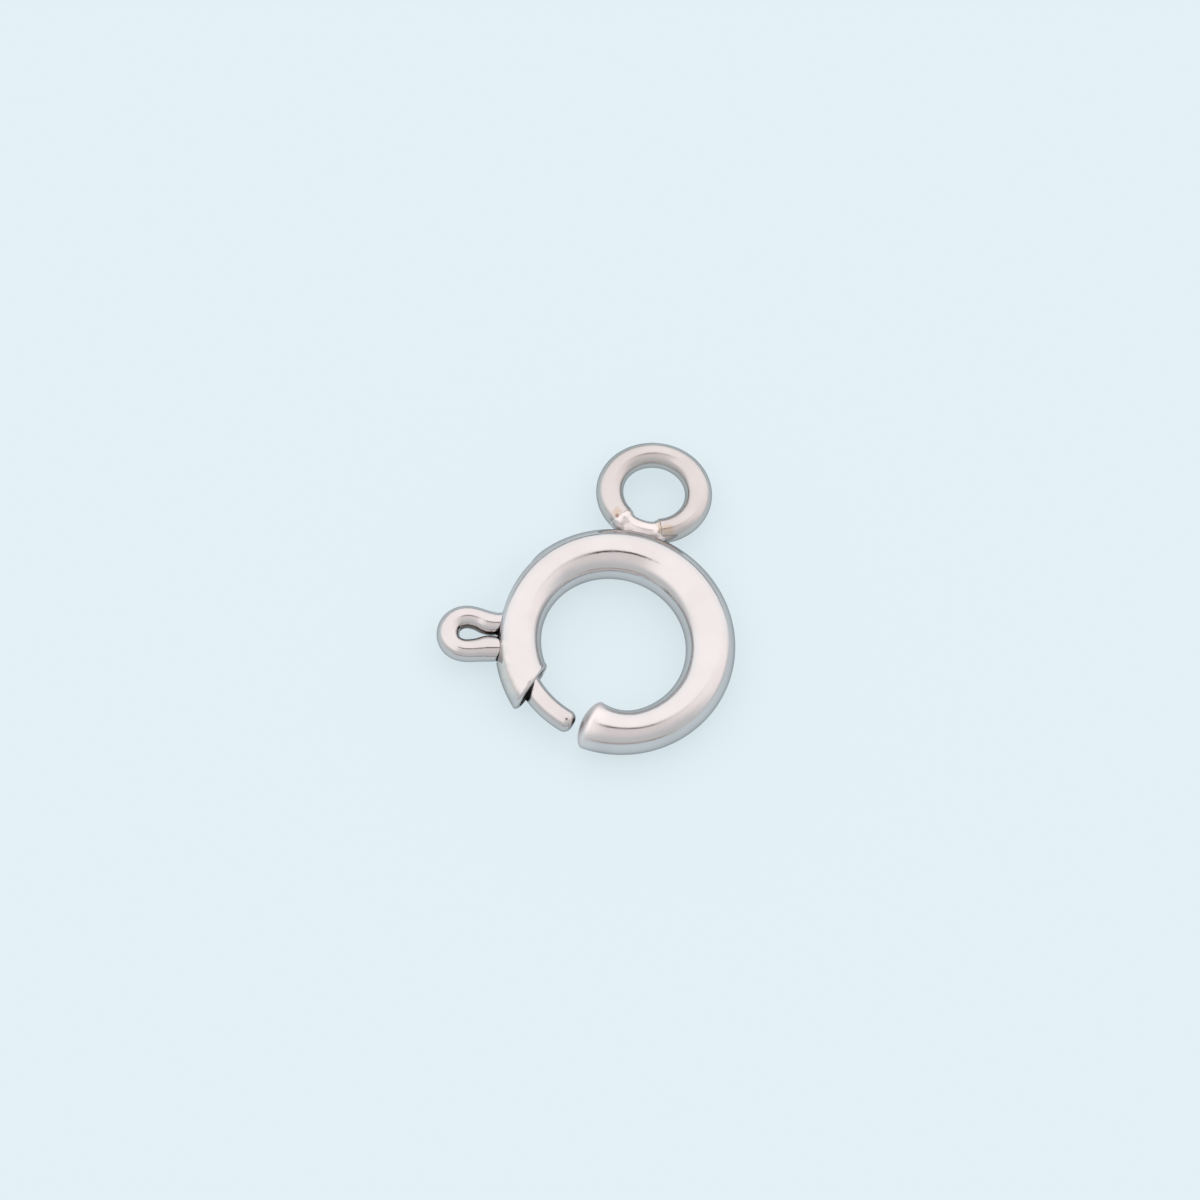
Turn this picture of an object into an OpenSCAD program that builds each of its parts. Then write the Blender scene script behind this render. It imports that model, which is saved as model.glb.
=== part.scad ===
// Spring ring clasp, also called a bolt ring.
// A bent metal tube with a gap, a sprung wire bolt that closes the gap, and an eye soldered on outside.
// All sizes are in millimetres. The ring's axis is Z, its centre is the origin, and its eye is on +Y.
// Angles are in degrees, anticlockwise from +X as seen from above.

/* [Ring tube] */
// Outside diameter of the ring
ring_d = 6.0; // [5.96:0.01:6.04]
// Diameter of the space inside the ring
hole_d = 3.66; // [3.62:0.01:3.7]
// Height of the tube, along the ring's axis
tube_h = 1.17; // [1.14:0.01:1.2]
// Radius of the rounded corners of the tube's section
corner_r = 0.47; // [0.44:0.01:0.48]
// Diameter of the bore that the bolt slides in
bore_d = 0.86; // [0.8:0.01:0.88]

/* [Gap and ends] */
// Direction of the saw cut at the mouth, where the bolt comes out
mouth_cut = 250; // [248:1:252]
// Direction of the saw cut at the closed end
end_cut = 256.6; // [254:0.1:258]
// How far the closed end bulges past its cut
nose_out = 0.25; // [0.2:0.01:0.28]
// How much larger the outer wall's radius is along the arm with the mouth
arm_flare = 0.26; // [0.2:0.01:0.3]
// How much smaller the inner wall's radius is near the closed end
end_flare = 0.85; // [0.8:0.01:0.85]

/* [Bolt] */
// Diameter of the bolt's wire
wire_d = 0.58; // [0.54:0.01:0.6]
// Radius of the circle that the bolt's wire follows
bolt_r = 2.475; // [2.46:0.005:2.485]
// Angle of the flat end of the tongue, with the clasp shut
tip_at = 258.9; // [258:0.1:259.2]
// Angle of the middle of the thumb loop, with the clasp shut
thumb_at = 192.7; // [192:0.1:193.4]
// Distance from the ring's centre to the centre of the thumb loop's round head
thumb_out = 3.76; // [3.7:0.005:3.82]
// Radius of the thumb loop's round head, along the middle of the wire
thumb_r = 0.45; // [0.43:0.01:0.47]
// Distance between the middles of the loop's two legs where they enter the tube
leg_gap = 0.68; // [0.66:0.01:0.7]
// How far the bolt turns back to open the gap
travel = 34; // [28:1:35]

/* [Eye] */
// Distance from the ring's centre to the eye's centre
eye_out = 4.2375; // [4.22:0.0025:4.26]
// Diameter of the eye, along the middle of its wire
eye_d = 2.16; // [2.1:0.01:2.2]
// Diameter of the eye's wire
eye_wire_d = 0.66; // [0.6:0.01:0.68]

/* [Hidden] */
$fn = 96;

ring_r = ring_d / 2;
hole_r = hole_d / 2;
bore_r = bore_d / 2;
wire_r = wire_d / 2;
flat_h = tube_h - 2 * corner_r;
// A small rise of the inner wall's corner arcs, so that they cross the flat land and don't just touch it
ease = 0.006;
// How far a cut runs past what it cuts
over = 0.1;

// Where the thick side of the ring is, opposite the gap, and how far each wall shifts for it
thick_at = 66.5;
thick_shift = 0.063;
out_c = thick_shift * dir(thick_at);
in_c = -thick_shift * dir(thick_at);

// Walls and bore run on into the sawn gap, and end between these angles, where nothing is left of them
gap_from = 240;
gap_to = 248;

// The arm's outer wall leaves the ring's outer circle at this angle, on a larger circle
arm_from = 150;
arm_c = out_c - arm_flare * dir(arm_from);
arm_r = ring_r + arm_flare;

// The inner wall near the closed end leaves the hole's circle at this angle, on a smaller circle
end_from = 302.7;
end_c = in_c + end_flare * dir(end_from);
end_r = hole_r - end_flare;
// A round cut through the middle of the hole, where the two curves' cuts don't reach
core_r = 1.4;

// The bore's middle line, and how it follows the arm outwards
bore_line = 2.424;
bore_shift = 0.13;
bore_stop = -50;

// A point on each saw cut, and how far the cuts run from it towards the hole and outwards
mouth_p = [-1.744, -1.818];
end_p = [-0.106, -2.253];
saw_in = 1.1;
saw_out = 2.5;
// The closed end's nose is part of a ball that passes through the edge of the cut
nose_half = 0.668;
nose_ball = (nose_half * nose_half + nose_out * nose_out) / (2 * nose_out);
nose_c = end_p + (nose_ball - nose_out) * dir(end_cut + 90);

// The slot lets the two legs out, and is as long as they and their travel
slot_h = wire_d + 0.1;
slot_half = 13.6;
slot_deep = 1;

// Bends of the bolt's wire
bend_r = 0.33;
kink_r = 0.5;
kink_at = 3.15;
leg_y = leg_gap / 2;
bend_at = sqrt(pow(bolt_r + bend_r, 2) - pow(leg_y + bend_r, 2));
bend_turn = asin((leg_y + bend_r) / (bolt_r + bend_r));
// Slope of the legs from the kink to the round head, where they meet it without a corner
lean = lean_angle(thumb_out - kink_at, leg_y, thumb_r);
kink_len = kink_r * tan(lean / 2);
head_touch = [thumb_out - thumb_r * sin(lean), thumb_r * cos(lean)];
tip_bevel = 0.12;
tail_turn = 8;

// The angle of the eye's wire end on the right, and how far the wire goes round
eye_from = -57;
eye_turn = 290;

// Straight and bent lengths that meet are joined by balls this much larger than they are
join = 0.005;

// The bead of solder under the eye
bead_r = 0.26;
bead_line = 3.17;
bead_turn = 10.5;

function dir(a) = [cos(a), sin(a)];
// The angle at which a line from a point beside the axis touches a circle further out on the axis
function lean_angle(along, side, r) = asin(r / norm([along, side])) - atan2(side, along);

// Half section of a disc whose rim is rounded at its corners
module rim_half(r) {
    translate([0, -tube_h / 2]) square([r - corner_r, tube_h]);
    translate([0, -flat_h / 2]) square([r, flat_h]);
    for (s = [-1, 1])
        translate([r - corner_r, s * flat_h / 2]) circle(corner_r);
}

// Half section of what is cut away to leave an inner wall with rounded corners
module hole_half(r) {
    difference() {
        translate([0, -tube_h]) square([r + corner_r, 2 * tube_h]);
        translate([r, -flat_h / 2 - ease]) square([corner_r + over, flat_h + 2 * ease]);
        for (s = [-1, 1])
            translate([r + corner_r, s * (flat_h / 2 + ease)]) circle(corner_r);
    }
}

// Turns a half section about an upright axis at c, from one angle on
module turned(c, from, sweep) {
    translate([c.x, c.y, 0]) rotate([0, 0, from]) rotate_extrude(angle = sweep) children();
}

// The disc that the ring is cut from, with the arm's wider outer wall
module ring_blank() {
    turned(out_c, gap_from, 360 - gap_from + arm_from) rim_half(ring_r);
    turned(arm_c, arm_from, gap_to - arm_from) rim_half(arm_r);
}

// The space inside the ring, with the narrower curve near the closed end
module ring_hole() {
    turned(in_c, end_from - 360, 360 - end_from + gap_to) hole_half(hole_r);
    turned(end_c, gap_from, end_from - gap_from) hole_half(end_r);
    cylinder(r = core_r, h = 2 * tube_h, center = true);
}

// The bore that the bolt slides in, from the mouth round to a stop short of the closed end
module tube_bore() {
    turned([0, 0], bore_stop, arm_from - bore_stop)
        translate([bore_line, 0]) circle(bore_r);
    turned(-bore_shift * dir(arm_from), arm_from, gap_to - arm_from)
        translate([bore_line + bore_shift, 0]) circle(bore_r);
}

// The sawn gap, with the nose of the closed end left standing
module gap() {
    difference() {
        linear_extrude(height = 3 * tube_h, center = true)
            polygon([
                mouth_p - saw_in * dir(mouth_cut),
                mouth_p + saw_out * dir(mouth_cut),
                end_p + saw_out * dir(end_cut),
                end_p - saw_in * dir(end_cut)
            ]);
        translate([nose_c.x, nose_c.y, 0]) sphere(nose_ball);
    }
}

// The slot in the outer wall that the thumb loop's legs pass through
module slot() {
    turned([0, 0], thumb_at - travel - slot_half, travel + 2 * slot_half)
        translate([bolt_r, -slot_h / 2]) square([slot_deep, slot_h]);
}

// The eye is a round wire bent to an open ring, with its two ends at the tube
module eye() {
    turned([0, eye_out], eye_from, eye_turn)
        translate([eye_d / 2, 0]) circle(eye_wire_d / 2);
}

// A bead of solder along the tube, which joins the eye's two ends to each other and to the tube
module solder() {
    turned([0, 0], 90 - bead_turn, 2 * bead_turn) translate([bead_line, 0]) circle(bead_r);
    for (s = [-1, 1])
        rotate([0, 0, 90 + s * bead_turn]) translate([bead_line, 0, 0]) sphere(bead_r + join);
}

module ring_body() {
    color([0.85, 0.83, 0.83]) {
        difference() {
            ring_blank();
            ring_hole();
            gap();
            union() tube_bore();
            slot();
        }
        eye();
        solder();
    }
}

// A length of bent wire, which turns about c in the plane of the ring
module bend(c, from, sweep, r) {
    turned(c, from, sweep) translate([r, 0]) circle(wire_r);
}

// A length of straight wire from p to q
module straight(p, q) {
    d = q - p;
    translate([p.x, p.y, 0]) rotate([0, 0, atan2(d.y, d.x)]) rotate([0, 90, 0])
        cylinder(r = wire_r, h = norm(d));
}

// The ball where two lengths of wire meet at p
module join_at(p) {
    translate([p.x, p.y, 0]) sphere(wire_r + join);
}

// Everything on one side of the thumb loop, up to where the wire joins the ring's circle
module leg() {
    kink_out = [kink_at, leg_y] + kink_len * dir(lean);
    kink_in = [kink_at - kink_len, leg_y];
    leg_end = [bend_at, leg_y];
    join_at(head_touch);
    straight(head_touch, kink_out);
    join_at(kink_out);
    bend([kink_in.x, leg_y + kink_r], -90, lean, kink_r);
    join_at(kink_in);
    straight(kink_in, leg_end);
    join_at(leg_end);
    bend([bend_at, leg_y + bend_r], 180 + bend_turn, 90 - bend_turn, bend_r);
    join_at(bolt_r * dir(bend_turn));
}

// The tongue, with a small bevel round its flat end
module tongue() {
    difference() {
        bend([0, 0], bend_turn, tip_at - thumb_at - bend_turn, bolt_r);
        rotate([0, 0, tip_at - thumb_at]) translate([bolt_r, 0, 0]) rotate([-90, 0, 0])
            rotate_extrude()
                polygon([
                    [wire_r - tip_bevel, over],
                    [wire_r - tip_bevel, 0],
                    [wire_r + over, -tip_bevel - over],
                    [wire_r + over, over]
                ]);
    }
}

module bolt() {
    color([0.85, 0.83, 0.83]) rotate([0, 0, thumb_at]) {
        bend([thumb_out, 0], -90 - lean, 180 + 2 * lean, thumb_r);
        leg();
        mirror([0, 1, 0]) leg();
        tongue();
        // The tail that the spring pushes on
        bend([0, 0], -bend_turn - tail_turn, tail_turn, bolt_r);
    }
}

ring_body();
bolt();
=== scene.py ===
# %% [markdown]
# # A spring ring clasp
# This small clasp closes a fine necklace or bracelet. It is a tube bent to a ring, with a gap, and a
# sprung wire bolt that slides round inside the tube to shut the gap. The bolt's thumb loop comes out
# through a slot in the tube's outer wall. A wire eye for the chain is soldered on outside. Everything
# is polished, silver-coloured plating, so the shapes show mainly in what they reflect.
#
# The measured solids come first. They fix every size and place, and the new pieces are fitted to them.

# %% Load the measured solids
import math

import bmesh
import bpy
from mathutils import Matrix, Vector


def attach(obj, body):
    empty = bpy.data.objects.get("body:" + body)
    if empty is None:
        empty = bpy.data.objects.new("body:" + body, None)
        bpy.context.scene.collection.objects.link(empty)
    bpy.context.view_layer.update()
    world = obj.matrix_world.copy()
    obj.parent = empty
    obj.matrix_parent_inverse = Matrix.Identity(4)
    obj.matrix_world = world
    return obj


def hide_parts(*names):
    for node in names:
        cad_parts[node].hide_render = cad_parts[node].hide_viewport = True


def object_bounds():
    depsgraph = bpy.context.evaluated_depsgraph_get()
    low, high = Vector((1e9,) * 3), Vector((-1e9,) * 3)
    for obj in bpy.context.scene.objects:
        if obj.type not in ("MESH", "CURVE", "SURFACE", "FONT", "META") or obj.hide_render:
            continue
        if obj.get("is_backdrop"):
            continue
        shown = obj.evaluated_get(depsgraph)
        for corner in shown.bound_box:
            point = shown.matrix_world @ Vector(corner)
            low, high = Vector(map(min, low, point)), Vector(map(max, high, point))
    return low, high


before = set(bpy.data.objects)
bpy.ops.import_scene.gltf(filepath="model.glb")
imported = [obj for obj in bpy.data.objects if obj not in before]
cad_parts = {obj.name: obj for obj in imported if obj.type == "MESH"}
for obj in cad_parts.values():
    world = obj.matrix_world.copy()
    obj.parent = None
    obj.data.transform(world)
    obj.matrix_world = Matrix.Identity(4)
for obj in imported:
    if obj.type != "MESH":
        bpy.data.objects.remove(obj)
cad_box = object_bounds()

# %% [markdown]
# Blender works in metres, and the clasp is measured in millimetres, with angles in degrees,
# anticlockwise from +X as seen from above. Most places on it are an angle and a distance from the
# ring's centre, so the first helper turns these into a point.

# %% Points round the ring
MM = 0.001


def at(angle, distance=1.0, height=0.0):
    """The point at an angle and a distance from the ring's axis."""
    turned = math.radians(angle)
    return Vector((distance * math.cos(turned), distance * math.sin(turned), height)) * MM


print("10 mm out at 30 degrees is at", [round(number / MM, 2) for number in at(30, 10)], "mm")

# %% [markdown]
# ## The view
# The clasp was photographed from well above, with a long lens that hardly shrinks what is further
# away. The picture is also turned in its own plane, so the eye leans to the right, and its middle lies
# a little to the left of the ring's centre and above it. A camera could be aimed with a constraint, but
# its three axes are known here, so they are set as a rotation.

# %% Set the camera
LENS_DISTANCE = 350
PICTURE_WIDTH = 30.05
SENSOR = 36.0
CAMERA_AT = 266
CAMERA_ELEVATION = 66.9
PICTURE_ROLL = 19.0
MIDDLE_RIGHT = -0.3756
MIDDLE_UP = 1.0887

elevation = math.radians(CAMERA_ELEVATION)
roll = math.radians(PICTURE_ROLL)
across = at(CAMERA_AT - 270) / MM
towards = at(CAMERA_AT, math.cos(elevation), math.sin(elevation)) / MM
upwards = towards.cross(across)
picture_right = math.cos(roll) * across + math.sin(roll) * upwards
picture_up = math.cos(roll) * upwards - math.sin(roll) * across
looks_at = (MIDDLE_RIGHT * picture_right + MIDDLE_UP * picture_up) * MM

bpy.ops.object.camera_add(location=looks_at + LENS_DISTANCE * MM * towards)
camera = bpy.context.object
camera.name = "camera"
camera.rotation_euler = Matrix((picture_right, picture_up, towards)).transposed().to_euler()
camera.data.sensor_width = SENSOR
camera.data.lens = SENSOR * LENS_DISTANCE / PICTURE_WIDTH
camera.data.clip_start = 0.01
camera.data.clip_end = 10
bpy.context.scene.camera = camera
print("camera lens", round(camera.data.lens), "mm, looking at", [round(c / MM, 3) for c in looks_at], "mm")

# %% [markdown]
# ## The table
# The clasp lies on smooth pale blue acrylic, lit faintly from below as well as from above, so its
# shadow stays light. The tube is the thickest part, so the table top is half the tube's height below
# the centre. It is a plane, marked as stage because it isn't part of the clasp.

# %% Lay the table
TUBE_HEIGHT = 1.17
TABLE_SIZE = 2000
TABLE_COLOUR = Vector((0.755, 0.87, 0.92))
LIT_FROM_BELOW = 0.72
LIGHT_FROM_ABOVE = 1.1

bpy.ops.object.select_all(action="DESELECT")
bpy.ops.mesh.primitive_plane_add(size=TABLE_SIZE * MM, location=(0, 0, -TUBE_HEIGHT / 2 * MM))
table = bpy.context.object
table.name = "table"
acrylic = bpy.data.materials.new("pale blue acrylic")
acrylic.use_nodes = True
shader = acrylic.node_tree.nodes["Principled BSDF"]
shader.inputs["Base Color"].default_value = (*TABLE_COLOUR * (1 - LIT_FROM_BELOW) / LIGHT_FROM_ABOVE, 1)
shader.inputs["Roughness"].default_value = 1
shader.inputs["Specular IOR Level"].default_value = 0
shader.inputs["Emission Color"].default_value = (*TABLE_COLOUR, 1)
shader.inputs["Emission Strength"].default_value = LIT_FROM_BELOW
table.data.materials.append(acrylic)
table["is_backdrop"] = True
print("table top at", round(-TUBE_HEIGHT / 2, 3), "mm")

# %% [markdown]
# ## The light
# Polished metal is a picture of its surroundings, so the light is built as a room: dim walls, soft
# panels of light, and a narrow dark gap overhead between two of them, which shows as the fine brown
# line along the top of the tube. Lamps could do this, but a world that is brighter in some directions
# than in others gives the same soft light without noise. A panel is a window in angle round the room
# and angle above the table, with soft edges.

# %% Helpers for the world's nodes
world = bpy.data.worlds.new("soft studio")
bpy.context.scene.world = world
world.use_nodes = True
room = world.node_tree
direction = room.nodes.new("ShaderNodeTexCoord").outputs["Generated"]


def plug(tree, socket, value):
    """Link a socket, or set a number or a vector on it."""
    if isinstance(value, bpy.types.NodeSocket):
        tree.links.new(value, socket)
    else:
        socket.default_value = value


def calculate(tree, operation, *values):
    """A Math node."""
    node = tree.nodes.new("ShaderNodeMath")
    node.operation = operation
    for socket, value in zip(node.inputs, values):
        plug(tree, socket, value)
    return node.outputs[0]


def dot_with(tree, socket, vector):
    """How far a direction points along a given one."""
    node = tree.nodes.new("ShaderNodeVectorMath")
    node.operation = "DOT_PRODUCT"
    plug(tree, node.inputs[0], socket)
    node.inputs[1].default_value = vector
    return node.outputs["Value"]


def fade(tree, value, start, end, low=0.0, high=1.0):
    """A smooth change from low to high as the value goes from start to end."""
    node = tree.nodes.new("ShaderNodeMapRange")
    node.interpolation_type = "SMOOTHSTEP"
    for socket, number in zip(node.inputs, (value, start, end, low, high)):
        plug(tree, socket, number)
    return node.outputs[0]


def blend_colours(tree, factor, first, second):
    """A Mix node between two colours."""
    node = tree.nodes.new("ShaderNodeMix")
    node.data_type = "RGBA"
    for socket, value in zip((node.inputs[0], node.inputs[6], node.inputs[7]), (factor, first, second)):
        plug(tree, socket, value)
    return node.outputs[2]


# %% [markdown]
# A window is a product of factors, each from 0 to 1: one for where it is round the room, and one or two
# for where it begins and ends above the table.

# %% Windows of light
height_angle = calculate(room, "ARCSINE", dot_with(room, direction, (0, 0, 1)))


def times(*factors):
    """The product of several factors."""
    product = factors[0]
    for factor in factors[1:]:
        product = calculate(room, "MULTIPLY", product, factor)
    return product


def rising(low, high):
    """From 0 to 1 as the height above the table goes from low to high, in degrees."""
    return fade(room, height_angle, math.radians(low), math.radians(high))


def around(start, end, edge):
    """From 0 to 1 inside a range of angles round the room, with soft edges."""
    middle = (start + end) / 2
    front = dot_with(room, direction, at(middle) / MM)
    side = dot_with(room, direction, at(middle + 90) / MM)
    sideways = calculate(room, "ABSOLUTE", calculate(room, "ARCTAN2", side, front))
    half = (end - start) / 2
    return fade(room, sideways, math.radians(half + edge), math.radians(half - edge))


# %% [markdown]
# The room is measured in the directions of the ring itself. The camera stands at 266 degrees, on the
# dim side. A great sheet of light hangs over the left and far sides, down to the table, with a slanting
# edge towards the camera. A smaller panel stands on the right. Between table and sheet there is a dark
# strip on the far side, which outlines the far edges of the metal. A brown one on the near side draws the
# line along the hole's far wall. Where a height falls, as in rising(78, 50), the light fades out upwards.

# %% Build the room of light
LOW_WALL = (0.75, 0.765, 0.78, 1)
CEILING = (1.0, 0.935, 0.935, 1)
SHEET_LOW = (1.28, 1.28, 1.30, 1)
SHEET_HIGH = (1.44, 1.355, 1.355, 1)
RIGHT_PANEL = (1.36, 1.25, 1.25, 1)
DARK_STRIP = (0.27, 0.28, 0.29, 1)
BROWN_STRIP = (0.50, 0.44, 0.42, 1)
SHEET_EDGE = (0, 0.643, 0.766)
EDGE_STARTS = -0.24
EDGE_ENDS = 0.22

light = blend_colours(room, rising(22, 62), LOW_WALL, CEILING)
panel = times(around(0, 58, edge=22), rising(5, 18), rising(78, 50))
light = blend_colours(room, panel, light, RIGHT_PANEL)
inside_edge = fade(room, dot_with(room, direction, SHEET_EDGE), EDGE_STARTS, EDGE_ENDS)
sheet = blend_colours(room, rising(5, 40), SHEET_LOW, SHEET_HIGH)
light = blend_colours(room, times(around(35, 260, edge=14), inside_edge, rising(0, 5)), light, sheet)
light = blend_colours(room, times(around(48, 150, edge=10), rising(8, 4)), light, DARK_STRIP)
light = blend_colours(room, times(around(255, 325, edge=12), rising(14, 4)), light, BROWN_STRIP)
print("walls, panel, sheet and strips take", len(room.nodes), "nodes")

# %% [markdown]
# The gap overhead is narrow and short, and nearly black. It lies a little off the middle of the room,
# and is measured by how far a direction points across it and along it. Each of its sides and ends fades
# from an outer line to an inner one.

# %% Leave the gap overhead
GAP_ALONG = at(18) / MM
GAP_ACROSS = at(108) / MM
MIDDLE_ACROSS = 0.07
MIDDLE_ALONG = 0.11
GAP_SIDES = (0.08, 0.04)
GAP_ENDS = (0.25, 0.08)
DARK_GAP = (0.03, 0.015, 0.012, 1)

from_line = calculate(room, "ADD", dot_with(room, direction, GAP_ACROSS), MIDDLE_ACROSS)
from_middle = calculate(room, "SUBTRACT", dot_with(room, direction, GAP_ALONG), MIDDLE_ALONG)
across_gap = fade(room, calculate(room, "ABSOLUTE", from_line), *GAP_SIDES)
along_gap = fade(room, calculate(room, "ABSOLUTE", from_middle), *GAP_ENDS)
light = blend_colours(room, times(across_gap, along_gap, rising(40, 50)), light, DARK_GAP)
plug(room, room.nodes["Background"].inputs["Color"], light)
bpy.context.scene.view_settings.view_transform = "Standard"
print("the room has", len(room.nodes), "nodes")

# %% [markdown]
# ## The plating
# The finish is bright plating on brass, polished by hand. It is nearly a mirror, slightly warm. Under
# a lens its surface waves softly and has a fine grain. A painted picture could carry all this, but noise
# on the piece's own coordinates needs no picture and has no seams. The first helpers make that noise,
# turn it into bump, and make a soft spot round a point, with an edge that noise breaks up.

# %% Noise, bump and spots
SPOT_OUTSIDE = 1.5
SPOT_INSIDE = 0.8


def noise(tree, place, scale, detail):
    """Noise on a piece, with its scale in waves per millimetre."""
    node = tree.nodes.new("ShaderNodeTexNoise")
    plug(tree, node.inputs["Vector"], place)
    node.inputs["Scale"].default_value = scale / MM
    node.inputs["Detail"].default_value = detail
    return node.outputs[0]


def raised(tree, height, distance, base=None):
    """A Bump node for a height from 0 to 1 that stands for this distance in millimetres."""
    node = tree.nodes.new("ShaderNodeBump")
    node.inputs["Distance"].default_value = distance * MM
    plug(tree, node.inputs["Height"], height)
    if base is not None:
        plug(tree, node.inputs["Normal"], base)
    return node.outputs[0]


def spot_round(tree, place, centre, size, ragged):
    """From 0 to 1 inside a soft spot, given in millimetres, whose edge follows some noise."""
    node = tree.nodes.new("ShaderNodeVectorMath")
    node.operation = "DISTANCE"
    plug(tree, node.inputs[0], place)
    node.inputs[1].default_value = Vector(centre) * MM
    wobble = calculate(tree, "MULTIPLY", ragged, size * MM)
    away = calculate(tree, "ADD", node.outputs["Value"], wobble)
    return fade(tree, away, SPOT_OUTSIDE * size * MM, SPOT_INSIDE * size * MM)


# %% [markdown]
# One builder makes each piece's material, with noise for its roughness and a slight change of tint. A
# stain is a spot of another colour, and the same spots also paint shade where it is given. A brushed spot
# is larger, and the finish there is less sharp too. The plating itself has hardly any colour, so its tints
# are greys with a little more red than blue.

# %% A builder for polished metal
EDGE_TINT = (0.52, 0.53, 0.54, 1)
WARM = (0.72, 0.67, 0.635)
BEIGE = (0.52, 0.45, 0.38)
BROWN = (0.30, 0.21, 0.17)
# HOLE_SHADE is painted shade for the small shaded hole in the thumb loop.
HOLE_SHADE = (0.20, 0.16, 0.145)
# TIP_SHADE is painted shade for the bolt's tip, by the dark gap at the closed end.
TIP_SHADE = (0.05, 0.045, 0.045)
BRUSHED = (0.79, 0.75, 0.745)
BRUSHED_ROUGHNESS = 0.46
BRUSHED_RAGGED = 0.3
CLOUD_SCALE = 0.9
GLOSS_SCALE = 2.3
WAVE_SCALE = 0.8
GRAIN_SCALE = 12
STAIN_EDGE_SCALE = 9
BRUSHED_EDGE_SCALE = 1.5


def plating(name, bright, dull, smooth=0.10, rough=0.20, wave=0.004, grain=0.0012, stains_and_shade=(), brushed=()):
    """Polished plating whose tint, gloss and flatness all vary a little over the surface.

    The tint goes from dull to bright and the roughness from smooth to rough. The waves and the grain are
    heights in millimetres. A stain or a spot of painted shade has a middle, a size and a colour, and a
    brushed spot has no colour.
    """
    material = bpy.data.materials.new(name)
    material.use_nodes = True
    tree = material.node_tree
    shader = tree.nodes["Principled BSDF"]
    place = tree.nodes.new("ShaderNodeTexCoord").outputs["Object"]
    clouds = noise(tree, place, CLOUD_SCALE, 3)
    colour = blend_colours(tree, fade(tree, clouds, 0.3, 0.7), (*dull, 1), (*bright, 1))
    for centre, size, spot_colour in stains_and_shade:
        spot = spot_round(tree, place, centre, size, noise(tree, place, STAIN_EDGE_SCALE, 3))
        colour = blend_colours(tree, spot, colour, (*spot_colour, 1))
    roughness = fade(tree, noise(tree, place, GLOSS_SCALE, 3), 0.3, 0.75, smooth, rough)
    for centre, size in brushed:
        ragged = calculate(tree, "MULTIPLY", noise(tree, place, BRUSHED_EDGE_SCALE, 0), BRUSHED_RAGGED)
        spot = spot_round(tree, place, centre, size, ragged)
        colour = blend_colours(tree, spot, colour, (*BRUSHED, 1))
        roughness = fade(tree, spot, 0, 1, roughness, BRUSHED_ROUGHNESS)
    plug(tree, shader.inputs["Base Color"], colour)
    plug(tree, shader.inputs["Roughness"], roughness)
    shader.inputs["Metallic"].default_value = 1.0
    shader.inputs["Specular Tint"].default_value = EDGE_TINT
    waves = raised(tree, noise(tree, place, WAVE_SCALE, 1), wave)
    plug(tree, shader.inputs["Normal"], raised(tree, noise(tree, place, GRAIN_SCALE, 3), grain, waves))
    return material


# %% [markdown]
# The tube is the cleanest piece. The arm with the mouth has a warm cast along its outer side, and the
# closed end was brushed and not polished. Its inside is painted nearly black, as painted shade for the
# shadow in the bore. Stains lie on the surface that shows, so their heights are those of the metal's top.

# %% Plate the tube, and paint shade into its bore
ARM_CAST_LINE = 2.99
ARM_CAST_HEIGHT = 0.28
ARM_CAST_SIZE = 0.3
CLOSED_END = (-0.38, -2.19, 0)
CLOSED_END_SIZE = 0.8

arm_cast = [(at(angle, ARM_CAST_LINE, ARM_CAST_HEIGHT) / MM, ARM_CAST_SIZE, WARM)
            for angle in (201, 208, 215, 222)]
tube_plating = plating(
    "tube plating", (0.635, 0.622, 0.622), (0.60, 0.58, 0.578),
    stains_and_shade=arm_cast, brushed=[(CLOSED_END, CLOSED_END_SIZE)])
# The bore's dark material is painted shade: its colour stands in for the shadow inside the tube.
shaded_bore_metal = plating(
    "painted shade inside the tube", (0.15, 0.135, 0.135), (0.08, 0.07, 0.07),
    smooth=0.4, rough=0.6, wave=0.01, grain=0.004)
print("plating made for the tube and its bore")

# %% [markdown]
# Soldering left its marks: both wire ends are beige from the heat, with a brown pit by the left one and
# a brown line by the right one. The solder itself is brighter and less even than the plating.

# %% Plate the eye and the solder
wire_plating = plating(
    "eye plating", (0.575, 0.555, 0.545), (0.535, 0.51, 0.495), smooth=0.16, rough=0.28,
    stains_and_shade=(
        ((0.55, 3.23, 0.32), 0.24, BEIGE),
        ((-0.80, 3.36, 0.30), 0.16, BEIGE),
        ((-0.77, 3.26, 0.28), 0.07, BROWN)))
solder_metal = plating(
    "bright solder", (0.72, 0.695, 0.69), (0.66, 0.62, 0.60),
    smooth=0.2, rough=0.34, wave=0.01, grain=0.0016,
    stains_and_shade=(
        ((0.38, 3.30, 0.29), 0.17, BEIGE),
        ((0.52, 3.20, 0.30), 0.2, BEIGE),
        ((0.36, 3.15, 0.22), 0.07, BROWN),
        ((-0.77, 3.26, 0.28), 0.08, BROWN)))
print("plating made for the eye and the solder")

# %% [markdown]
# The bolt has a brown speck near its tip, and the tip itself is painted dark, as painted shade from the
# narrow gap between the tip and the closed end. A row of spots of painted shade follows the lower side of
# the hole in its thumb loop, for the shadow in that small hole. They are placed along the loop's own
# middle line and across it.

# %% Plate the bolt
THUMB_AT = 192.7
RIM_HEIGHT = 0.06
SHADE_SPOT_SIZE = 0.12
SHADE_SPOTS = (
    (3.87, -0.13), (3.8, -0.17), (3.72, -0.19), (3.64, -0.18), (3.56, -0.16), (3.48, -0.13),
    (3.4, -0.09), (3.32, -0.05), (3.24, -0.02), (3.14, 0.0), (3.04, 0.0))

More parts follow.
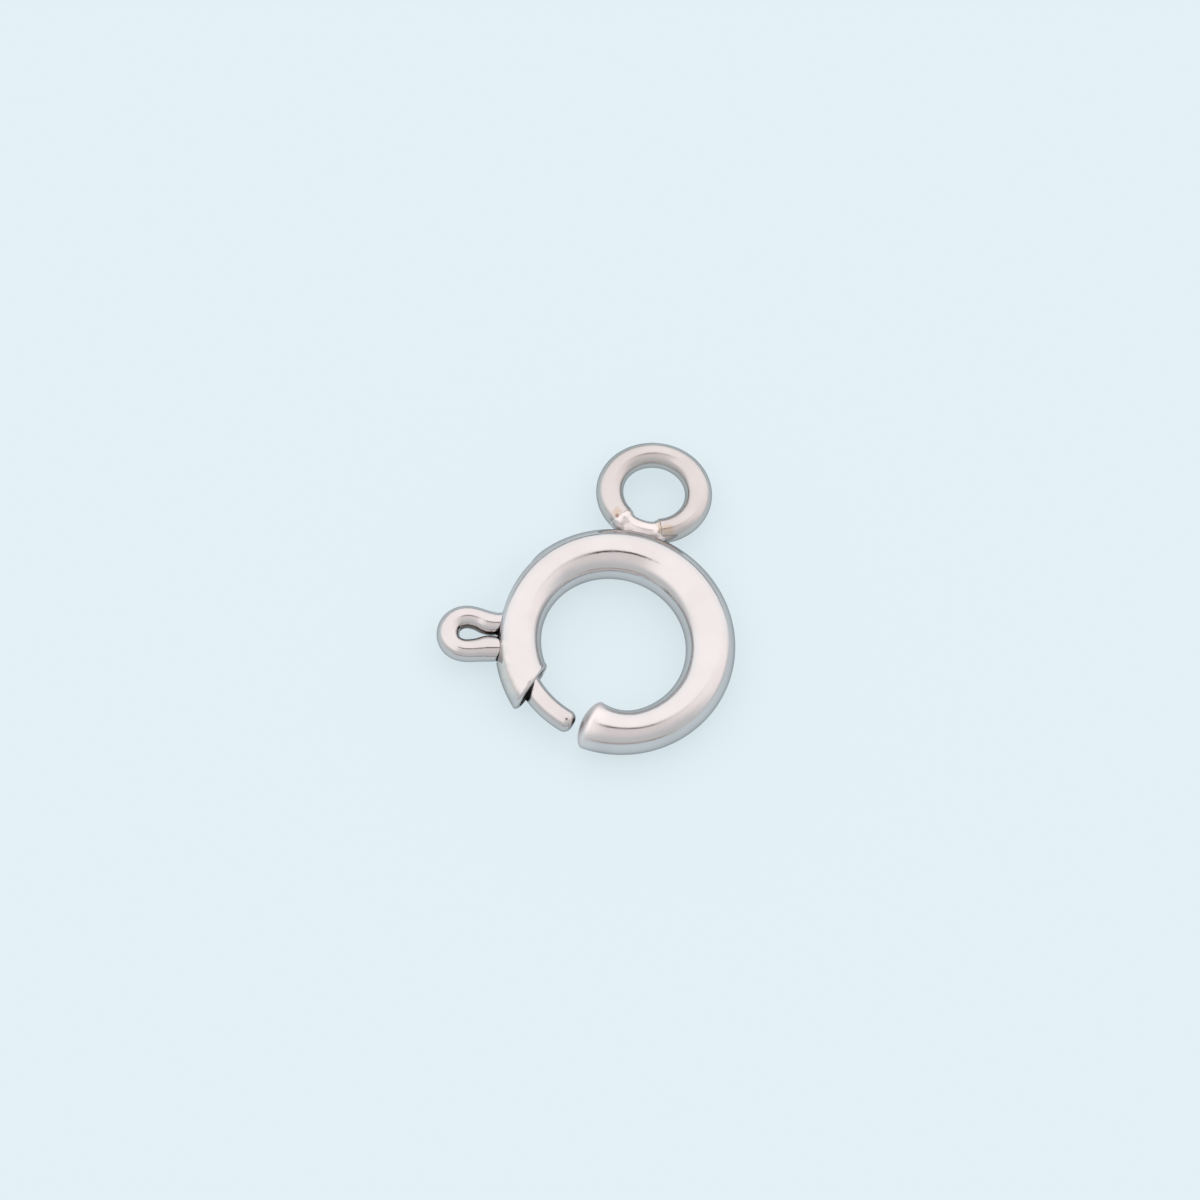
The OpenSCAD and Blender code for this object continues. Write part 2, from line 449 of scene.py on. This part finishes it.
# These spots are painted shade along the lower side of the loop's hole.
shaded_hole_rim = [((at(THUMB_AT, along) + at(THUMB_AT + 90, across_it, RIM_HEIGHT)) / MM, SHADE_SPOT_SIZE, HOLE_SHADE)
            for along, across_it in SHADE_SPOTS]
bolt_plating = plating(
    "bolt plating", (0.61, 0.59, 0.59), (0.57, 0.545, 0.545), wave=0.003,
    stains_and_shade=(
        ((-0.70, -2.44, 0.27), 0.04, BROWN),
        # The tip's dark spot is painted shade from the gap between the tip and the closed end.
        ((-0.50, -2.39, 0.12), 0.17, TIP_SHADE),
        *shaded_hole_rim))
print("plating made for the bolt, with", len(shaded_hole_rim), "spots round the loop's hole")

# %% [markdown]
# ## The tube
# The tube is not quite even: it is widest opposite the gap, the arm with the mouth keeps its width to
# the end, and the closed end swells inwards. Its walls follow a few circles, which are named here.
# Spinning a section round once would make an even ring, so the section is walked round instead:
# each new row is extruded, turned, widened and moved to meet both walls.

# %% The tube's walls
THICK_SIDE = 66.5
THICK_SHIFT = 0.063
RING_RADIUS = 3.0
HOLE_RADIUS = 1.83
ARM_FROM = 149
ARM_TOWARDS = 150
ARM_WIDER = 0.26
END_FROM = -59
END_TOWARDS = 302.7
END_NARROWER = 0.85

outer_middle = at(THICK_SIDE, THICK_SHIFT) / MM
inner_middle = at(THICK_SIDE, -THICK_SHIFT) / MM
arm_middle = outer_middle - at(ARM_TOWARDS, ARM_WIDER) / MM
arm_radius = RING_RADIUS + ARM_WIDER
end_middle = inner_middle + at(END_TOWARDS, END_NARROWER) / MM
end_radius = HOLE_RADIUS - END_NARROWER


def wall(angle, middle, radius):
    """How far from the ring's axis a circular wall is, in the direction of this angle."""
    ahead = at(angle) / MM
    return middle.dot(ahead) + math.sqrt(radius ** 2 - middle.cross(ahead).length ** 2)


def outer_wall(angle):
    """The outer wall, wider along the arm with the mouth."""
    if angle > ARM_FROM:
        return wall(angle, arm_middle, arm_radius)
    return wall(angle, outer_middle, RING_RADIUS)


def inner_wall(angle):
    """The inner wall, which curves in towards the closed end."""
    if angle < END_FROM:
        return wall(angle, end_middle, end_radius)
    return wall(angle, inner_middle, HOLE_RADIUS)


for angle in (-94, 66, 228):
    print("tube width at", angle, "degrees:", round(outer_wall(angle) - inner_wall(angle), 3), "mm")

# %% [markdown]
# Every piece is shaped in edit mode, as by hand. An operator acts on all that is selected, so a new
# piece begins with nothing else selected. A row of edges is then extruded, turned and resized. Without
# a window Blender turns clockwise for a positive angle, so the helper gives it the opposite one.

# %% Begin a piece and shape its rows
DOUBLES = 0.0008 * MM


def begin(operator, **place):
    """Add a primitive with nothing else selected, put its place in its mesh and enter edit mode."""
    bpy.ops.object.select_all(action="DESELECT")
    operator(**place)
    bpy.ops.object.transform_apply(location=True, rotation=True, scale=True)
    bpy.ops.object.mode_set(mode="EDIT")
    bpy.ops.mesh.select_all(action="SELECT")


def squeeze(factors, about, angle=0.0):
    """Resize what is selected along an axis at this angle, across it and upwards."""
    bpy.ops.transform.resize(
        value=factors, center_override=about, orient_type="GLOBAL", orient_matrix_type="GLOBAL",
        orient_matrix=Matrix.Rotation(math.radians(angle), 3, "Z"))


def turn(angle, about=Vector()):
    """Turn what is selected anticlockwise about an upright axis."""
    bpy.ops.transform.rotate(value=-math.radians(angle), orient_axis="Z", center_override=about)


def carry_along(move):
    """Extrude the selected edges by a move, and leave the new row selected."""
    bpy.ops.mesh.extrude_edges_move(TRANSFORM_OT_translate={"value": move})


# %% [markdown]
# The section is a square plane whose corners are bevelled until they meet. A bevel profile of one
# half makes it round, and the widening then makes it slightly oval, as a bent tube is.

# %% Walk the section round the ring
FIRST_ROW = -109
LAST_ROW = 243
ROWS = 160
CORNER_STEPS = 12
SECTION_PROFILE = 0.5
row_step = (LAST_ROW - FIRST_ROW) / ROWS


def width_and_middle(angle):
    """The tube's width between its walls, and how far out its middle is."""
    return outer_wall(angle) - inner_wall(angle), (outer_wall(angle) + inner_wall(angle)) / 2


width, middle = width_and_middle(FIRST_ROW)
begin(bpy.ops.mesh.primitive_plane_add, size=TUBE_HEIGHT * MM, location=at(FIRST_ROW, middle),
      rotation=(math.radians(90), 0, math.radians(FIRST_ROW)))
bpy.ops.mesh.bevel(offset=TUBE_HEIGHT / 2 * MM, segments=CORNER_STEPS, profile=SECTION_PROFILE,
                   affect="VERTICES")
bpy.ops.mesh.select_all(action="SELECT")
bpy.ops.mesh.remove_doubles(threshold=DOUBLES)
bpy.ops.mesh.delete(type="ONLY_FACE")
bpy.ops.mesh.select_all(action="SELECT")
squeeze((width / TUBE_HEIGHT, 1, 1), at(FIRST_ROW, middle), FIRST_ROW)
for row in range(1, ROWS + 1):
    angle = FIRST_ROW + row * row_step
    new_width, new_middle = width_and_middle(angle)
    carry_along(at(angle - row_step, new_middle - middle))
    turn(row_step)
    squeeze((new_width / width, 1, 1), at(angle, new_middle), angle)
    width, middle = new_width, new_middle
print("rows walked:", ROWS, "over", LAST_ROW - FIRST_ROW, "degrees")

# %% [markdown]
# Cutting needs a way to say where. In a window faces would be picked with the mouse, and here they are
# picked by the place of their middle.

# %% Pick parts of a mesh
def angle_of(point):
    """The angle of a point round the ring, from 0 to 360."""
    return math.degrees(math.atan2(point.y, point.x)) % 360


def lies_in(point, stretch):
    """Whether a point lies in a stretch of the ring, given as its first and last angle."""
    return stretch[0] < angle_of(point) < stretch[1]


def pick(kind, test):
    """Select the vertices or faces whose middle passes the test, and say how many."""
    bpy.ops.mesh.select_mode(type=kind)
    bpy.ops.mesh.select_all(action="DESELECT")
    mesh = bmesh.from_edit_mesh(bpy.context.object.data)
    count = 0
    for part in mesh.verts if kind == "VERT" else mesh.faces:
        middle = part.co if kind == "VERT" else sum((v.co for v in part.verts), Vector()) / len(part.verts)
        if test(middle):
            part.select_set(True)
            count += 1
    mesh.select_flush(True)
    return count


# %% [markdown]
# The two ends were sawn off at a slant, so the tube was walked a little too far at both ends. A
# bisect with the plane of each saw cut trims it, on the faces near that end alone. The first row
# belongs to the closed end, and the last to the mouth.

# %% Saw the two ends
FINE = 0.0001 * MM
MOUTH_POINT = Vector((-1.744, -1.818, 0)) * MM
MOUTH_CUT = 250
END_POINT = Vector((-0.04, -2.25, 0)) * MM
END_CUT = 259.3
LIP = 0.1
MOUTH_STRETCH = (208, 248)
END_STRETCH = (248, 285)


def saw(stretch, plane_point, normal):
    """Trim the faces in a stretch of the ring on the far side of a plane."""
    pick("FACE", lambda c: lies_in(c, stretch))
    bpy.ops.mesh.bisect(plane_co=plane_point, plane_no=normal, clear_outer=True, threshold=FINE)


mouth_out = at(MOUTH_CUT + 90) / MM
end_out = at(END_CUT - 90) / MM
mouth_rim = MOUTH_POINT - mouth_out * LIP * MM
saw(MOUTH_STRETCH, mouth_rim, mouth_out)
saw(END_STRETCH, END_POINT, end_out)
print("saw cuts made through the mouth and the closed end")

# %% [markdown]
# The closed end is domed, and the mouth's rim is only rounded over. Both are done alike: the rim left
# by the saw is extruded in steps, each a little smaller and a little further out. The steps follow a
# quarter of an ellipse, and for the dome a curve that is slightly less full. The dome's last step is
# merged to a point.

# %% Dome the closed end and round the mouth
DOME_PROUD = 0.27
DOME_FULLNESS = 1.85
DOME_INSET = 0.998
DOME_STEPS = 12
LIP_STEPS = 6


def middle_of_picked():
    """The middle of the selected vertices."""
    mesh = bmesh.from_edit_mesh(bpy.context.object.data)
    picked = [v.co for v in mesh.verts if v.select]
    return sum(picked, Vector()) / len(picked)


def on_plane(point, plane_point, normal, slack=0.002):
    """Whether a point lies on a plane."""
    return abs((point - plane_point).dot(normal)) < slack * MM


def round_off(ahead, middle, proud, inset, steps, fullness=2.0):
    """Extrude the picked rim this far out, and in by this share of its size, to a rounded edge."""
    size, out = 1.0, 0.0
    for step in range(1, steps + 1):
        slope = math.radians(90 * step / steps)
        new_size = 1 - inset * (1 - math.cos(slope) ** (2 / fullness))
        new_out = proud * math.sin(slope) ** (2 / fullness)
        carry_along(ahead * (new_out - out) * MM)
        squeeze((new_size / size,) * 3, middle + ahead * new_out * MM)
        size, out = new_size, new_out


pick("VERT", lambda c: lies_in(c, END_STRETCH) and on_plane(c, END_POINT, end_out))
round_off(end_out, middle_of_picked(), DOME_PROUD, DOME_INSET, DOME_STEPS, DOME_FULLNESS)
bpy.ops.mesh.merge(type="CENTER")
pick("VERT", lambda c: lies_in(c, MOUTH_STRETCH) and on_plane(c, mouth_rim, mouth_out))
round_off(mouth_out, middle_of_picked(), LIP, 2 * LIP / TUBE_HEIGHT, LIP_STEPS)
print("dome stands", DOME_PROUD, "mm past the saw cut, and the mouth's rim is rounded by", LIP, "mm")

# %% [markdown]
# The slot is cut before the wall gets its thickness. It reaches from the loop's lower leg round past
# where the upper leg stands when the bolt is drawn right back. Its near end is round. Its far end runs
# out to a point, so that the tube's outline has no step there. A Boolean could cut it, but would leave
# ragged faces along its edge. Planes mark it out instead: one for each straight side, two for the point
# and seven across the round end. Each has a reach, so that it cuts only the faces near it.

# %% Mark out the slot for the thumb loop
SLOT_LOW = 134.5
SLOT_HIGH = 206.3
SLOT_HALF_HEIGHT = 0.31
SLOT_SURROUNDS = (SLOT_LOW - 6, SLOT_HIGH + 6)
OUTER_WALL_FROM = 2.6
OUTER_WALL_HALF_HEIGHT = 0.45
POINT_SLOPE = 70
ROUND_SLOPES = [22.5 * step for step in range(-3, 4)]
SIDE_REACH = 5
POINT_REACH = 1.3
ROUND_REACH = 0.5
UP = Vector((0, 0, 1))
half_height = SLOT_HALF_HEIGHT * MM
round_end_at = SLOT_HIGH - math.degrees(SLOT_HALF_HEIGHT / RING_RADIUS)


def near_slot(point):
    """Whether a point is on the outer wall, close to the slot."""
    far_out = math.hypot(point.x, point.y) > OUTER_WALL_FROM * MM
    return lies_in(point, SLOT_SURROUNDS) and far_out and abs(point.z) < OUTER_WALL_HALF_HEIGHT * MM


def slanting(angle, slope, outwards):
    """A direction along the slot's wall at an angle round the ring, tipped up by a slope."""
    slope = math.radians(slope)
    return outwards * math.cos(slope) * at(angle + 90) / MM + math.sin(slope) * UP


slot_sides = [(UP * half_height, UP, SIDE_REACH), (-UP * half_height, -UP, SIDE_REACH)]
for slope in (-POINT_SLOPE, POINT_SLOPE):
    slot_sides.append((at(SLOT_LOW, RING_RADIUS), slanting(SLOT_LOW, slope, -1), POINT_REACH))
for slope in ROUND_SLOPES:
    normal = slanting(round_end_at, slope, 1)
    slot_sides.append((at(round_end_at, RING_RADIUS) + normal * half_height, normal, ROUND_REACH))
print("the slot has", len(slot_sides), "sides")

# %% [markdown]
# A bisect with each plane draws the slot's outline in the mesh, and the faces inside it are deleted.
# The whole tube is then welded, because extruding and bisecting leave doubled vertices here and there.

# %% Cut the slot
def in_slot(point):
    """Whether a point on the outer wall is inside all of the slot's sides."""
    return near_slot(point) and all((point - side).dot(normal) < 0 for side, normal, reach in slot_sides)


def weld():
    """Merge doubled vertices and turn every face outwards."""
    bpy.ops.mesh.select_mode(type="VERT")
    bpy.ops.mesh.select_all(action="SELECT")
    bpy.ops.mesh.remove_doubles(threshold=DOUBLES)
    bpy.ops.mesh.normals_make_consistent(inside=False)


for side, normal, reach in slot_sides:
    pick("FACE", lambda c: near_slot(c) and (c - side).length < reach * MM)
    bpy.ops.mesh.bisect(plane_co=side, plane_no=normal, threshold=FINE)
removed = pick("FACE", in_slot)
bpy.ops.mesh.delete(type="FACE")
weld()
print("slot faces removed:", removed)

# %% [markdown]
# When its shape is done, a piece leaves edit mode, gets its name and is shaded smoothly up to a certain
# angle between its faces. Modifiers are then set and applied at once.

# %% Finish a piece
SMOOTH_UP_TO = 40


def finish_piece(name):
    """Leave edit mode, name the piece and its mesh, and smooth its shading."""
    bpy.ops.object.mode_set(mode="OBJECT")
    piece = bpy.context.object
    piece.name = name
    piece.data.name = name
    bpy.ops.object.shade_smooth_by_angle(angle=math.radians(SMOOTH_UP_TO))
    print(name, "has", len(piece.data.vertices), "vertices and", len(piece.data.polygons), "faces")
    return piece


def apply_modifier(kind, name, **settings):
    """Add a modifier to the active piece, set it and apply it."""
    modifier = bpy.context.object.modifiers.new(name, kind)
    for key, value in settings.items():
        setattr(modifier, key, value)
    bpy.ops.object.modifier_apply(modifier=name)


# %% [markdown]
# Solidify gives the tube its thin wall, inwards, so the outside keeps its measured size. The inner
# faces get the second material, the dark one, which is painted shade for the shadow in the bore. Only
# the lip at the mouth's inner corner keeps the plating on its inside, without painted shade. A small bevel
# then softens the edges of the mouth and the slot, which catch the light.

# %% Give the tube its wall
WALL = 0.085
UNSHADED_LIP = 0.05
UNSHADED_STRETCH = (208, 222)
EDGE = 0.012
SOFTENED_FROM = 50
TUBE_SMOOTH_UP_TO = 35

tube = finish_piece("tube")
tube.data.materials.append(tube_plating)
tube.data.materials.append(shaded_bore_metal)
apply_modifier("SOLIDIFY", "wall", thickness=WALL * MM, offset=-1, use_even_offset=True,
               material_offset=1, material_offset_rim=1)
# Faces of the lip near the mouth go back to the plating, so the bore's painted shade begins deeper in.
for face in tube.data.polygons:
    at_mouth = (face.center - MOUTH_POINT).dot(mouth_out) > -UNSHADED_LIP * MM
    if at_mouth and lies_in(face.center, UNSHADED_STRETCH):
        face.material_index = 0
apply_modifier("BEVEL", "soft edges", width=EDGE * MM, segments=2, limit_method="ANGLE",
               angle_limit=math.radians(SOFTENED_FROM))
bpy.ops.object.shade_smooth_by_angle(angle=math.radians(TUBE_SMOOTH_UP_TO))
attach(tube, "ring")
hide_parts("ring_body")
print("tube:", len(tube.data.polygons), "faces")

# %% [markdown]
# ## The eye
# The eye is a round wire bent nearly to a full circle, with its two cut ends under the solder. A torus
# has no ends, so a circle is spun along the bend instead.

# %% Bend the eye
EYE_OUT = 4.2375
EYE_BEND = 1.08
EYE_WIRE = 0.328
WIRE_CORNERS = 32
EYE_ROWS = 96
EYE_FROM = -69
EYE_TURN = 305
eye_middle = at(90, EYE_OUT)


def carry_round(angle, about, steps):
    """Spin the selected edges anticlockwise about an upright axis, and leave the last row selected."""
    bpy.ops.mesh.spin(steps=steps, angle=-math.radians(angle), center=about, axis=(0, 0, 1))


def on_eye(angle):
    """The point of the eye's middle line at an angle about the eye's own middle."""
    return eye_middle + at(angle, EYE_BEND)


begin(bpy.ops.mesh.primitive_circle_add, vertices=WIRE_CORNERS, radius=EYE_WIRE * MM,
      location=on_eye(EYE_FROM), rotation=(math.radians(90), 0, math.radians(EYE_FROM)))
carry_round(EYE_TURN, eye_middle, EYE_ROWS)
print("eye wire bent through", EYE_TURN, "degrees")

# %% [markdown]
# Each end is closed, and pinched in two steps to the low ridge that side cutters leave. The whole eye
# is then stretched a little, because a chain has pulled it slightly oval.

# %% Pinch the eye's ends and pull it oval
PINCH_STEP = 0.03
PINCHES = ((0.82, 0.82, 0.82), (0.8, 0.8, 0.25))
END_REACH = 1.2 * EYE_WIRE
EYE_LONG_WAY = 18
EYE_LONG_BEND = 1.127
EYE_SHORT_BEND = 1.034


def pull_oval():
    """Stretch what is selected as the eye was stretched."""
    squeeze((EYE_LONG_BEND / EYE_BEND, EYE_SHORT_BEND / EYE_BEND, 1), eye_middle, EYE_LONG_WAY)


for end in (EYE_FROM + EYE_TURN, EYE_FROM):
    outwards = at(end + (90 if end > 0 else -90)) / MM
    end_at = on_eye(end)
    pick("VERT", lambda c: on_plane(c, end_at, outwards) and (c - end_at).length < END_REACH * MM)
    bpy.ops.mesh.edge_face_add()
    for step, pinch in enumerate(PINCHES, 1):
        bpy.ops.mesh.extrude_region_move(TRANSFORM_OT_translate={"value": outwards * PINCH_STEP * MM})
        squeeze(pinch, end_at + outwards * step * PINCH_STEP * MM)
weld()
pull_oval()
eye = finish_piece("eye")
eye.data.materials.append(wire_plating)
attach(eye, "ring")
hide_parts("ring_body")

# %% [markdown]
# ## The solder
# Solder ran between the two wire ends and the tube, and drew itself into hollow fillets. Its skin can
# be made like a real one: first come plain bars where the metal lay, and then they melt together. The
# bars are swept round the ring or the eye: a bead on the tube, a piece of the tube itself, a web from
# one wire end to the other, and the two wire ends.

# %% Lay the bars for the solder
BEAD_RADIUS = 0.235
BEAD_LINE = 3.17
BEAD_TURN = 10
SLICE_RADIUS = 0.55
SLICE_LINE = 2.44
SLICE_TURN = 56
WEB_RADIUS = 0.275
WEB_BEND = 1.11
WEB_TURN = 62
LEFT_RADIUS = 0.331
LEFT_BEND = 1.09
LEFT_TURN = 12
RIGHT_RADIUS = 0.31
RIGHT_FROM = EYE_FROM - 6
RIGHT_TURN = 24
WEB_FROM = EYE_FROM + EYE_TURN - 2
LEFT_FROM = EYE_FROM + EYE_TURN - 3
ring_middle = Vector()


def sweep(radius, about, bend, first, turned, steps, corners=24, oval=False):
    """A closed length of round bar, bent about a middle from its first angle on."""
    begin(bpy.ops.mesh.primitive_circle_add, vertices=corners, radius=radius * MM,
          location=about + at(first, bend), rotation=(math.radians(90), 0, math.radians(first)))
    bpy.ops.mesh.edge_face_add()
    carry_round(turned, about, steps)
    weld()
    if oval:
        pull_oval()
    bpy.ops.object.mode_set(mode="OBJECT")
    return bpy.context.object


bars = [
    sweep(BEAD_RADIUS, ring_middle, BEAD_LINE, 90 - BEAD_TURN, 2 * BEAD_TURN, 12),
    sweep(SLICE_RADIUS, ring_middle, SLICE_LINE, 90 - SLICE_TURN / 2, SLICE_TURN, 24, corners=40),
    sweep(WEB_RADIUS, eye_middle, WEB_BEND, WEB_FROM, WEB_TURN, 22, oval=True),
    sweep(RIGHT_RADIUS, eye_middle, EYE_BEND, RIGHT_FROM, RIGHT_TURN, 10, oval=True),
    sweep(LEFT_RADIUS, eye_middle, LEFT_BEND, LEFT_FROM, LEFT_TURN, 8, oval=True)]
print("bars laid for the solder:", len(bars))

# %% [markdown]
# The bars are joined and remeshed to one skin, and smoothing then pulls it across the corners just as
# the liquid metal did. In Blender's window the voxel size slides down only to a tenth of a millimetre,
# which is too coarse here, so the skin is made a thousand times larger meanwhile. What lies deep in the
# tube is cut off. Where the skin sinks into the wire or the tube, those pieces show instead.

# %% Melt the bars together
VOXEL = 0.03
SMOOTHINGS = 26
SOLDER_FROM = 2.75


def enlarge(scale):
    """Scale the active piece about the ring's centre."""
    bpy.ops.transform.resize(value=(scale,) * 3, center_override=(0, 0, 0))
    bpy.ops.object.transform_apply(location=True, rotation=True, scale=True)


for bar in bars:
    bar.select_set(True)
bpy.ops.object.join()
enlarge(1 / MM)
apply_modifier("REMESH", "one skin", mode="VOXEL", voxel_size=VOXEL)
apply_modifier("SMOOTH", "surface tension", factor=0.5, iterations=SMOOTHINGS)
enlarge(MM)
bpy.ops.object.mode_set(mode="EDIT")
bpy.ops.mesh.select_all(action="SELECT")
bpy.ops.mesh.bisect(plane_co=at(90, SOLDER_FROM), plane_no=(0, 1, 0), clear_inner=True, use_fill=True,
                    threshold=FINE)
bpy.ops.mesh.select_all(action="SELECT")
bpy.ops.mesh.normals_make_consistent(inside=False)
solder = finish_piece("solder")
solder.data.materials.append(solder_metal)
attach(solder, "ring")
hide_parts("ring_body")

# %% [markdown]
# ## The bolt
# The bolt is one length of round wire. It runs from the flat tip of the tongue back along the tube,
# turns out through the slot, goes round the thumb loop and comes back in, and ends in a short tail
# that the hidden spring pushes on. A curve with a round bevel could follow this path, but carrying a
# circle round each bend in turn keeps every bend's true radius. It is made with the loop on +X, and
# turned to its place at the end.

# %% Bend the bolt's wire
WIRE = 0.29
BOLT_LINE = 2.475
TIP_AT = 258.3
LEG_APART = 0.34
BEND = 0.33
TAIL_TURN = 8
TIP_ROUND = 0.21
TIP_STEPS = 6
TONGUE_ROWS = 36
BEND_ROWS = 12
TAIL_ROWS = 4

bend_turn = math.degrees(math.asin((LEG_APART + BEND) / (BOLT_LINE + BEND)))
bend_at = math.sqrt((BOLT_LINE + BEND) ** 2 - (LEG_APART + BEND) ** 2)
tip_turn = TIP_AT - THUMB_AT - math.degrees(TIP_ROUND / BOLT_LINE)
print("bolt bends", round(bend_turn, 1), "degrees off its circle,", round(bend_at, 3), "mm out")


def point(x, y):
    """A point in the bolt's plane, from its place in millimetres."""
    return Vector((x, y, 0)) * MM


begin(bpy.ops.mesh.primitive_circle_add, vertices=WIRE_CORNERS, radius=WIRE * MM,
      location=at(tip_turn, BOLT_LINE), rotation=(math.radians(90), 0, math.radians(tip_turn)))
carry_round(-(tip_turn - bend_turn), ring_middle, TONGUE_ROWS)
carry_round(90 - bend_turn, point(bend_at, LEG_APART + BEND), BEND_ROWS)

# %% [markdown]
# The thumb loop was bent round a peg by hand, so it isn't quite even: it leans to one side, its legs
# pinch together at the tube, and the pliers flattened the wire a little. A true arc would look too
# neat. The wire is carried along a smooth curve through a row of points instead, and turned at each
# step to face along the curve. Each point has its place and the wire's half width there.

# %% Bend the thumb loop
LOOP_POINTS = (
    (bend_at, LEG_APART, WIRE), (2.86, 0.340, 0.295), (3.02, 0.345, 0.320), (3.22, 0.353, 0.332),
    (3.457, 0.403, 0.299), (3.665, 0.435, 0.288), (3.84, 0.435, 0.285), (4.0, 0.388, 0.285),
    (4.13, 0.285, 0.285), (4.2, 0.13, 0.285), (4.208, -0.04, 0.285), (4.15, -0.215, 0.285),
    (4.03, -0.355, 0.285), (3.87, -0.44, 0.285), (3.68, -0.464, 0.285), (3.47, -0.425, 0.288),
    (3.3, -0.362, 0.303), (3.16, -0.330, 0.306), (3.0, -0.322, 0.288), (2.86, -0.334, 0.285),
    (bend_at, -LEG_APART, WIRE))
STEPS_BETWEEN = 4


def smooth_path(points, steps):
    """Points on a smooth curve through a row of points, with this many steps between two of them."""
    row = [Vector(p) for p in points]
    row = [2 * row[0] - row[1], *row, 2 * row[-1] - row[-2]]
    path = []
    for before, start, end, after in zip(row, row[1:], row[2:], row[3:]):
        for step in range(steps):
            t = step / steps
            path.append(start + 0.5 * t * (end - before + t * (2 * before - 5 * start + 4 * end - after
                        + t * (3 * (start - end) + after - before))))
    return path + [row[-2]]


path = smooth_path(LOOP_POINTS, STEPS_BETWEEN)
heading = 0.0
for here, there, after in zip(path, path[1:], path[2:] + [2 * path[-1] - path[-2]]):
    ahead = after - here
    new_heading = math.degrees(math.atan2(ahead.y, ahead.x)) % 360
    middle = point(there.x, there.y)
    carry_along(middle - point(here.x, here.y))
    turn((new_heading - heading + 180) % 360 - 180, middle)
    squeeze((1, there.z / here.z, 1), middle, new_heading)
    heading = new_heading
print("thumb loop carried through", len(path), "points, and faces", round(heading, 1), "degrees at its end")
carry_round(90 - bend_turn, point(bend_at, -LEG_APART - BEND), BEND_ROWS)
carry_round(-TAIL_TURN, ring_middle, TAIL_ROWS)
bpy.ops.mesh.edge_face_add()

# %% [markdown]
# The tongue's tip was cut flat and tumbled until its edge was round. The rim is extruded inwards in a
# quarter round to a small flat face.

# %% Shape the tongue's tip
tip_ahead = at(tip_turn + 90) / MM
tip_middle = at(tip_turn, BOLT_LINE)
pick("VERT", lambda c: on_plane(c, tip_middle, tip_ahead) and c.y > 0)
round_off(tip_ahead, tip_middle, TIP_ROUND, TIP_ROUND / WIRE, TIP_STEPS)
bpy.ops.mesh.edge_face_add()
weld()
turn(THUMB_AT)
bolt = finish_piece("bolt_wire")
bolt.data.materials.append(bolt_plating)
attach(bolt, "bolt")
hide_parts("bolt")

# %% [markdown]
# ## The two boxes
# Both boxes, of the measured solids and of the new pieces, are printed in millimetres.

# %% Print the boxes
new_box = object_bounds()


for label, box in (("solids", cad_box), ("visual", new_box)):
    print(label, [[round(number / MM, 3) for number in corner] for corner in box], "mm")
